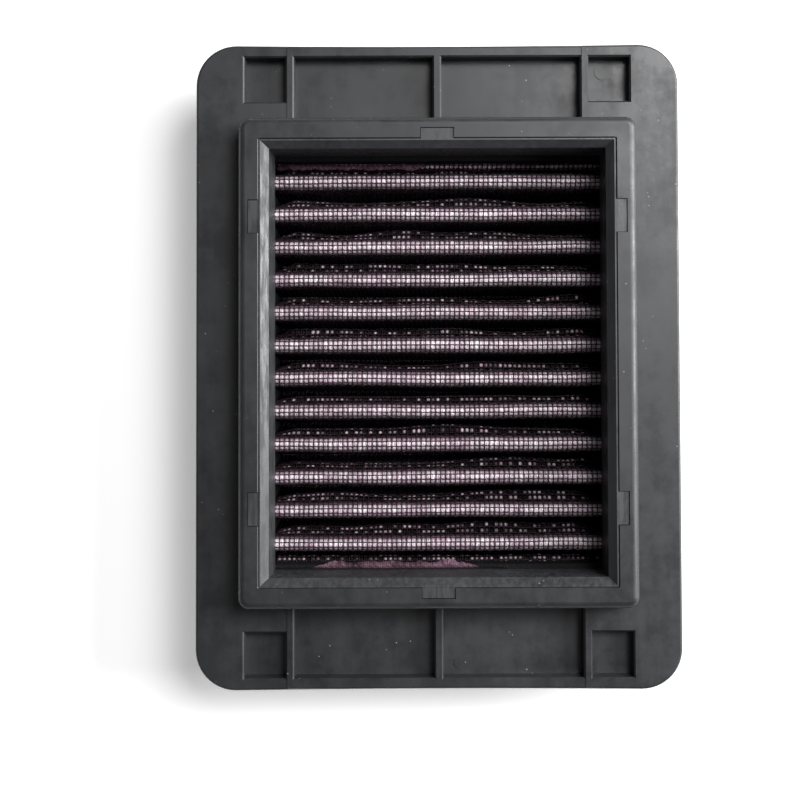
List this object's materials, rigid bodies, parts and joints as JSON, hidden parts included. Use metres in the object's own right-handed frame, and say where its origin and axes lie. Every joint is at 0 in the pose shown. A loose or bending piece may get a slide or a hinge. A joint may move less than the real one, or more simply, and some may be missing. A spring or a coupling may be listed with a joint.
{
  "type": "air filter",
  "caption": "Flat rectangular panel air filter in a rigid plastic flange frame, with a raised collar around a window of pleated oiled cotton gauze between wire screens",
  "frame": {"origin": "Centre of the filter's outline in plan, on the rear face it lies on.", "axes": "+Z points out of the front collar, the side the picture shows. +Y runs along the long side towards the picture's top, and +X across the width to the picture's right. The pleats run along X."},
  "size_m": [0.138, 0.1836, 0.0351],
  "materials": {
    "frame_plastic": "satin moulded glass-filled nylon, dark grey",
    "screen_wire": "fine woven wire with a dark epoxy coat",
    "cotton_gauze": "loosely woven cotton, oiled, pale mauve",
    "pleat_sealant": "matt black flexible potting compound",
    "gasket_foam": "matt black closed-cell foam strip"
  },
  "bodies": {
    "root": {"outer_frame": "frame_plastic", "retainer_frame": "frame_plastic", "front_screen": "screen_wire", "rear_screen": "screen_wire", "gauze_ply_1": "cotton_gauze", "gauze_ply_2": "cotton_gauze", "gauze_ply_3": "cotton_gauze", "gauze_ply_4": "cotton_gauze", "left_pleat_sealant": "pleat_sealant", "right_pleat_sealant": "pleat_sealant", "top_end_sealant": "pleat_sealant", "bottom_end_sealant": "pleat_sealant", "flange_gasket": "gasket_foam"}
  },
  "joints": []
}
